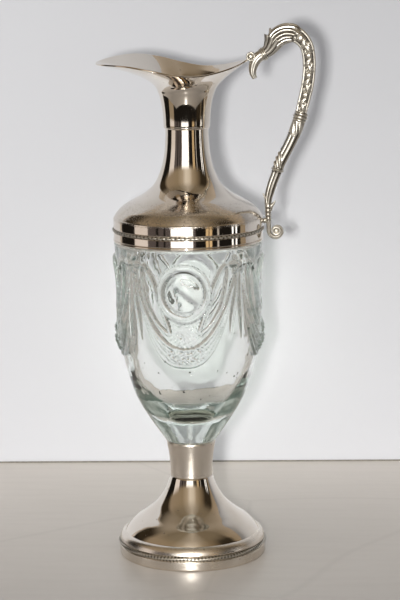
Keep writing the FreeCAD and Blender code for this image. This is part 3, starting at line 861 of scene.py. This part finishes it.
def stemRelief(phi, s, length):
    # long flutes, ribbons wound slantwise above a knot, and small scales near the bottom
    knotAt = 35.4
    flutes = np.cos(phi * 7)
    low = unit((s - length * 0.80) / 5.0)
    raised = 0.42 * flutes * (1 - low)
    hollow = unit(-flutes * 1.8 + 0.1) * (1 - low)
    # the ribbons start higher on the inner side and run down to the knot on the outer side
    startAt = 27.5 - 6.0 * np.cos(phi)
    window = unit((s - startAt) / 0.8) * unit((knotAt - 1.0 - s) / 0.8)
    wind = np.cos((s - startAt) * 1.9)
    raised = raised * (1 - window) + window * (0.45 + 0.5 * wind)
    hollow = hollow * (1 - window) + window * unit(-wind * 1.6 - 0.4)
    edge = bump01(s - startAt, 0.7) * (s < knotAt)
    hollow = np.maximum(hollow, edge * 0.6)
    # leaf cluster just under the middle collar
    leaves = unit((10.0 - s + 2.0 * np.cos(phi * 4)) / 1.5)
    lobes = np.abs(np.sin(phi * 4 + s * 0.35))
    raised = raised * (1 - leaves) + leaves * (0.75 * lobes - 0.05)
    hollow = hollow * (1 - leaves) + leaves * unit(1 - lobes * 2.4)
    knot = bump01(s - knotAt, 1.5)
    raised = np.maximum(raised, knot * 1.25)
    hollow = hollow * (1 - knot)
    hollow = np.maximum(hollow, bump01(np.abs(s - knotAt) - 1.7, 0.5))
    # overlapping scales in the thin part above the scroll
    beads = np.abs(np.sin(s * 1.15 + 0.9 * np.abs(np.sin(phi))))
    raised = raised + low * (0.5 * beads - 0.1)
    hollow = np.maximum(hollow, low * unit(0.45 - beads) * 2.4)
    return raised, hollow


def plainRelief(phi, s, length):
    groove = np.maximum(bump01(np.abs(np.cos(phi)) - 0.62, 0.14), bump01(np.cos(phi), 0.15))
    return -0.4 * groove, groove


def cupRelief(phi, s, length):
    # acanthus cup: lobes that deepen towards the lip
    lobes = np.cos(phi * 10)
    return 0.55 * lobes * (0.3 + 0.7 * unit(s / length)) + 0.2, unit(-lobes * 1.5)


def leafTip(name, path, steps=8):
    def relief(phi, s, length):
        ridge = bump01(np.cos(phi), 0.35)
        return -0.12 * ridge, ridge * 0.7
    return castBar(name, path, 16, 26, relief, steps)


def drumScroll(name, centre, radius, halfWidth):
    # a small drum whose faces have a raised rim, a sunk ring and a round eye
    face = [(0.0, halfWidth * 0.98), (0.75, halfWidth * 0.95), (1.05, halfWidth * 0.72),
            (1.35, halfWidth * 0.62), (1.9, halfWidth * 0.66), (2.15, halfWidth * 0.9),
            (2.5, halfWidth), (2.85, halfWidth * 0.93), (radius, halfWidth * 0.72),
            (radius, halfWidth * 0.3)]
    outline = smoothLine(face, 3)
    outline = outline + [(r, -z) for r, z in outline[::-1]]
    piece = spinOutline(name, outline, 48, closed=False)
    points = readPoints(piece)
    away = np.hypot(points[:, 0], points[:, 1])
    noteHollow(piece, bump01(away - 1.45, 0.6) * (np.abs(points[:, 2]) < halfWidth))
    return layAt(piece, centre, Matrix.Rotation(math.radians(90), 4, "X"))


def footScroll(name):
    # the stem's end rolls up in one and a half turns
    cx, cz = handle["scrollCentre"]
    turns = []
    for i in range(27):
        share = i / 26
        angle = math.radians(172 + 500 * share)
        radius = 4.75 * (1 - share) ** 0.85 * 0.86 + 0.95
        thick = 3.0 - 1.7 * share
        turns.append((cx + radius * math.cos(angle), cz + radius * math.sin(angle), thick,
                      4.0 - 0.6 * share))
    start = [(54.0, 229.6, 3.2, 4.1), (54.15, 227.0, 3.1, 4.05)]

    def relief(phi, s, length):
        groove = bump01(np.abs(np.sin(phi)) - 0.98, 0.1)
        return -0.2 * groove, groove * 0.8

    roll = castBar(name + "Roll", start + turns, 18, 150, relief, 6)
    eye = drumScroll(name + "Eye", (cx, cz), 1.0, 2.1)
    return [roll, eye]


def handleBeak():
    horn = castBar("beakHorn", handle["beak"], 24, 60, plainRelief)
    drum = drumScroll("beakDrum", (42.9, 339.4), 3.05, 3.15)
    bridge = castBar("beakBridge", [(44.5, 339.2, 3.0, 4.6), (47.5, 340.6, 4.0, 5.2),
                                    (50.3, 341.4, 4.4, 5.6)], 20, 24, plainRelief)
    return joinPieces("handleBeak", [horn, drum, bridge])


def handleBow():
    arm = castBar("bowArm", handle["arm"], 84, 330, armRelief)
    cupPiece = castBar("bowCup", handle["cup"], 56, 40, cupRelief)
    tips = [
        leafTip("bowTipA", [(58.6, 348.6, 5.2, 6.4), (57.0, 352.4, 4.2, 5.4), (55.6, 357.7, 1.2, 1.6)]),
        leafTip("bowTipB", [(60.4, 353.0, 4.0, 7.0), (59.4, 355.6, 2.6, 5.0), (59.3, 357.6, 0.8, 1.6)]),
        leafTip("bowTipC", [(61.0, 348.4, 4.2, 7.0), (63.2, 347.2, 2.6, 5.0), (65.2, 347.0, 0.8, 1.6)]),
    ]
    return joinPieces("handleBow", [arm, cupPiece] + tips)


def handleStem():
    bar = castBar("stemBar", handle["stem"], 48, 300, stemRelief)
    leaves = [
        leafTip("stemLeafA", [(54.6, 240.6, 3.0, 3.4), (52.6, 244.4, 2.2, 2.8), (50.3, 248.2, 0.6, 0.9)]),
        leafTip("stemLeafB", [(54.4, 238.6, 3.0, 3.4), (56.6, 240.4, 2.4, 2.8), (58.7, 243.3, 0.6, 0.9)]),
        leafTip("stemLeafC", [(54.2, 236.0, 2.6, 4.6), (55.6, 237.4, 2.0, 3.6), (56.8, 238.8, 0.6, 1.0)]),
    ]
    return joinPieces("handleStem", [bar] + leaves + footScroll("stemScroll"))


def handlePost():
    outline = [(0.0, -0.6), (1.3, -0.6), (1.35, 0.3), (1.7, 0.8), (1.88, 1.5), (1.7, 2.3), (1.2, 2.8),
               (1.15, 3.4), (0.0, 3.4)]
    piece = spinOutline("handlePost", outline, 32, closed=False)
    noteHollow(piece, np.zeros(len(piece.data.vertices)))
    return layAt(piece, handle["postFoot"], Matrix.Rotation(math.radians(90), 4, "Y"))


upperCollar = ringBeads("upperCollar", *handle["upperCollar"])
middleCollar = ringBeads("middleCollar", *handle["middleCollar"])
for piece, node in ((upperCollar, "handle_upper_collar"), (middleCollar, "handle_middle_collar"),
                    (handleBeak(), "handle_beak"), (handleBow(), "handle_bow"),
                    (handleStem(), "handle_stem"), (handlePost(), "handle_post")):
    fit(piece, [node], castSilver)
print("handle made")

# the plaster beds keep their own shape
for name in ("collar_cement", "stem_cement"):
    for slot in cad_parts[name].material_slots:
        slot.material = plasterAndGapShadow


stage = {
    "wallEnd": -0.36, "wallHigh": 0.62, "wallMiddle": (-0.095, 0.10), "wallDistance": 0.227,
    "wallTurn": 2.2, "wallReach": 2.5, "roomHigh": 2.4,
    "tableFront": -0.60, "tableBack": 0.6, "tableHalfWidth": 0.62, "floorReach": 6,
    "azimuth": 4.0, "distance": 1.307, "height": 0.4227, "pitch": 10.7, "roll": 0.78,
    "lens": 117.9, "shift": 0.018,
}


def tableMaterial():
    material, bench = newMaterial("tableTop")
    place = bench.objectPlace()
    cloud = bench.noise(place, 3, 3)
    grain = bench.noise(place, 160, 3)
    colour = bench.blend(cloud, (0.49, 0.45, 0.40), (0.585, 0.54, 0.49))
    veins = bench.add("TexVoronoi", {"feature": "DISTANCE_TO_EDGE"},
                      {"Vector": bench.bendPlace(place, 3.0, 0.06), "Scale": 4.2})
    brushed = bench.noise(bench.stretched(place, (14, 120, 1)), 1.0, 3)
    colour = bench.blend(bench.step(veins, 0.0, 0.012) * 0.14 + 0.86, (0.30, 0.27, 0.24), colour)
    colour = bench.blend(bench.step(brushed, 0.35, 0.75) * 0.16, colour, (0.40, 0.36, 0.32))
    # painted light: the table is paler towards the wall and darker towards the front, where the light
    # falls off
    depth = bench.axes(place)[1]
    share = bench.add("Clamp", None, {"Value": 0.83 + 1.35 * depth, "Min": 0.55, "Max": 1.14})
    colour = bench.blend(share, (0, 0, 0), colour)
    finishMaterial(bench, {"Base Color": colour, "Roughness": 0.32, "Specular IOR Level": 0.4,
                           "Normal": bench.bump(grain, 0.08, 0.0005)})
    return material


def wallMaterial():
    # the backdrop is only there from the front, so that views from behind aren't blocked
    material, bench = newMaterial("paleWall")
    place = bench.objectPlace()
    cloud = bench.noise(place, 4, 3)
    colour = bench.blend(cloud, (0.645, 0.66, 0.695), (0.685, 0.70, 0.735))
    # painted light: the wall is darker towards the top, more so towards the right, standing for the light
    # falling off
    x, z = bench.axes(place)[::2]
    share = bench.add("Clamp", None,
                      {"Value": 1.10 - 0.62 * z - 1.1 * x * z, "Min": 0.5, "Max": 1.12})
    colour = bench.blend(share, (0, 0, 0), colour)
    paint = bench.add("BsdfPrincipled", None,
                      {"Base Color": colour, "Roughness": 0.85, "Specular IOR Level": 0.1})
    clear = bench.add("BsdfTransparent")
    behind = bench.add("NewGeometry", output=6)
    surface = bench.add("MixShader", None, {0: behind, 1: paint, 2: clear})
    bench.add("OutputMaterial", None, {"Surface": surface})
    return material


def stagePlane(name, place, material):
    startClean()
    bpy.ops.mesh.primitive_plane_add(size=1.0, location=(0, 0, 0))
    plane = bpy.context.object
    plane.name = name
    plane.data.transform(place)
    plane.data.materials.append(material)
    return plane


def floorPanel(name, left, right, front, back):
    place = Matrix.Translation(((left + right) / 2, (front + back) / 2, 0))
    return stagePlane(name, place @ Matrix.Diagonal((right - left, back - front, 1, 1)), tableTop)


def wallPanel(name, left, right, low, high, forward=0.0, material=None):
    place = (Matrix.Rotation(math.radians(stage["wallTurn"]), 4, "Z")
             @ Matrix.Translation(((left + right) / 2, stage["wallDistance"] - forward, (low + high) / 2))
             @ Matrix.Rotation(math.radians(90), 4, "X")
             @ Matrix.Diagonal((right - left, high - low, 1, 1)))
    return stagePlane(name, place, material or paleWall)


tableTop = tableMaterial()
paleWall = wallMaterial()
half, reach = stage["tableHalfWidth"], stage["floorReach"]
front, back = stage["tableFront"], stage["tableBack"]
floorPanel("table", -half, half, front, back)
# the floor further out is the same, but mirrors don't see it
for name, *sides in (
        ("floorFront", -reach, reach, -reach, front), ("floorLeft", -reach, -half, front, back),
        ("floorRight", half, reach, front, back), ("floorBack", -reach, reach, back, reach)):
    floorPanel(name, *sides).visible_glossy = False

# the left end and the top of the wall light the room but aren't mirrored: the room is dark there
middleLeft, middleRight = stage["wallMiddle"]
wallReach = stage["wallReach"]
wallPanel("wall", middleLeft, middleRight, 0.0, stage["wallHigh"])
for name, mirrored, *sides in (
        ("wallNearLeft", True, stage["wallEnd"], middleLeft, 0.0, stage["wallHigh"]),
        ("wallNearRight", True, middleRight, wallReach, 0.0, stage["wallHigh"]),
        ("wallLeft", False, -wallReach, stage["wallEnd"], 0.0, stage["wallHigh"]),
        ("wallTop", False, -wallReach, wallReach, stage["wallHigh"], stage["roomHigh"])):
    panel = wallPanel(name, *sides)
    panel.visible_glossy = mirrored
    panel.visible_transmission = False

# painted shadow: a thin dark strip where the table meets the wall, in the plaster finish
wallPanel("tableGapShadow", -1.0, 1.0, 0.0, 0.0012, 0.0006, plasterAndGapShadow)


def studioWorld():
    world = bpy.data.worlds.new("studio")
    scene.world = world
    world.use_nodes = True
    bench = Bench(world.node_tree)
    direction = bench.add("TexCoord", output=0)
    x, y, z = bench.axes(direction)
    # compass angle of the direction as a share of a turn, 0.5 towards the camera side
    compass = bench.add("Math", {"operation": "ARCTAN2"}, {0: x, 1: y * -1.0})
    compass = compass * (0.5 / math.pi) + 0.5 - stage["azimuth"] / 360.0
    cream = (0.60, 0.54, 0.48)
    black = (0.012, 0.010, 0.008)
    dim = (0.11, 0.090, 0.085)
    white = (1.9, 1.85, 1.8)
    lamp = (0.80, 0.56, 0.30)
    pink = (0.85, 0.76, 0.70)
    tan = (0.33, 0.255, 0.17)
    brown = (0.035, 0.025, 0.014)

    def room(blend, bands):
        # bands are colours from a number of degrees right of the camera side onwards
        stops = [((degrees + 180) / 360.0, colour) for degrees, colour in bands]
        return bench.add("ValToRGB", {"ramp": {"blend": blend, "stops": stops}}, {0: compass})

    level = room("CONSTANT", [
        (-180, cream), (-124, black), (-91, pink), (-66, dim), (-52, black), (-47, dim), (-39, black),
        (-36, dim), (-28, white), (7, dim), (10, black), (26, lamp), (30, black), (32, lamp),
        (36, black), (45, cream), (47, black), (69, white), (72, black), (76, white), (79, black),
        (87, tan), (112, tan), (150, cream)])
    low = room("CONSTANT", [
        (-180, cream), (-124, black), (-91, tan), (-66, black), (48, brown), (69, tan), (72, black),
        (87, tan), (150, cream)])
    high = room("LINEAR", [
        (-180, (0.58, 0.52, 0.45)), (-128, (0.52, 0.45, 0.37)), (-124, brown), (-104, brown),
        (-92, (0.32, 0.245, 0.165)), (-45, (0.30, 0.225, 0.14)), (-22, (0.46, 0.37, 0.26)),
        (-8, (0.78, 0.68, 0.55)), (8, (0.70, 0.60, 0.47)), (22, (0.38, 0.295, 0.195)),
        (45, (0.20, 0.145, 0.085)), (62, brown), (84, brown), (92, tan), (130, (0.48, 0.40, 0.32)),
        (179, (0.58, 0.52, 0.45))])
    ceiling = room("LINEAR", [
        (-180, (0.40, 0.345, 0.28)), (-125, (0.34, 0.28, 0.21)), (-80, (0.20, 0.155, 0.10)),
        (-40, (0.24, 0.19, 0.125)), (0, (0.48, 0.41, 0.32)), (40, (0.22, 0.17, 0.11)),
        (85, (0.20, 0.155, 0.10)), (125, (0.34, 0.28, 0.21)), (179, (0.40, 0.345, 0.28))])
    mirrorRoom = bench.blend(bench.step(z, -0.185, -0.165), low, level)
    mirrorRoom = bench.blend(bench.step(z, 0.29, 0.48), mirrorRoom, high)
    mirrorRoom = bench.blend(bench.step(z, 0.68, 0.93), mirrorRoom, ceiling)
    light = bench.add("LightPath")
    glossy = bench.outputOf(light, "Is Glossy Ray")
    through = bench.outputOf(light, "Is Transmission Ray")
    depth = bench.outputOf(light, "Transmission Depth")
    inGlass = bench.step(depth, 0.0, 1.0)
    seen = bench.add("Math", {"operation": "MAXIMUM"}, {0: glossy, 1: through})
    shadeTone = (0.10, 0.125, 0.11)
    glassRoom = room("LINEAR", [
        (-180, (0.80, 0.80, 0.79)), (-171, (0.72, 0.72, 0.71)), (-163, shadeTone),
        (-146, (0.16, 0.18, 0.17)), (-132, (0.55, 0.55, 0.53)), (-95, (0.42, 0.41, 0.38)),
        (-60, (0.16, 0.15, 0.13)), (-28, (0.20, 0.19, 0.17)), (-20, (1.0, 1.0, 0.98)),
        (5, (1.0, 1.0, 0.98)), (12, (0.12, 0.11, 0.09)), (60, (0.16, 0.15, 0.13)),
        (95, (0.42, 0.41, 0.38)), (132, (0.55, 0.55, 0.53)), (146, (0.16, 0.18, 0.17)),
        (163, shadeTone), (171, (0.72, 0.72, 0.71)), (179, (0.80, 0.80, 0.79))])
    glassRoom = bench.blend(bench.step(z, 0.22, 0.50), glassRoom, shadeTone)
    glassRoom = bench.blend(bench.step(z, 0.60, 0.85), glassRoom, (0.45, 0.45, 0.42))
    mirrorRoom = bench.blend(inGlass, mirrorRoom, glassRoom)
    plain = bench.add("Background", None, {"Color": (0.86, 0.86, 0.88), "Strength": 0.57})
    mirrored = bench.add("Background", None, {"Color": mirrorRoom, "Strength": 1.0})
    both = bench.add("MixShader", None, {0: seen, 1: plain, 2: mirrored})
    bench.add("OutputWorld", None, {"Surface": both})


studioWorld()


lights = {
    "keyLight": {"place": (0.03, -1.33, 0.408), "target": (0, 0, 0.2), "size": 0.05, "watts": 13.8,
                 "colour": (1.0, 0.97, 0.93), "mirrored": True},
    "topLight": {"place": (-0.4, -0.5, 1.9), "target": (0, 0, 0.1), "size": 1.4, "watts": 9.0,
                 "colour": (1.0, 0.99, 0.97), "mirrored": False},
}


def softLight(name, place, target, size, watts, colour, mirrored):
    light = bpy.data.lights.new(name, "AREA")
    light.shape = "RECTANGLE"
    light.size = light.size_y = size
    light.energy = watts
    light.color = colour
    lamp = bpy.data.objects.new(name, light)
    scene.collection.objects.link(lamp)
    lamp.location = place
    lamp.rotation_euler = (Vector(target) - Vector(place)).to_track_quat("-Z", "Y").to_euler()
    lamp.visible_glossy = mirrored


for name, settings in lights.items():
    softLight(name, **settings)

camera = bpy.data.cameras.new("camera")
camera.sensor_width = 36.0
camera.lens = stage["lens"]
camera.shift_x = stage["shift"]
camera.clip_end = 50
cameraObject = bpy.data.objects.new("camera", camera)
scene.collection.objects.link(cameraObject)
turnAngle = math.radians(stage["azimuth"])
cameraPlace = (stage["distance"] * math.sin(turnAngle), -stage["distance"] * math.cos(turnAngle),
               stage["height"])
cameraObject.matrix_world = (
    Matrix.Translation(cameraPlace)
    @ Matrix.Rotation(turnAngle, 4, "Z") @ Matrix.Rotation(math.radians(90 - stage["pitch"]), 4, "X")
    @ Matrix.Rotation(math.radians(-stage["roll"]), 4, "Z"))
scene.camera = cameraObject
scene.view_settings.view_transform = "Standard"
scene.cycles.max_bounces = 28
scene.cycles.transmission_bounces = 28
scene.cycles.glossy_bounces = 12
print("stage set")
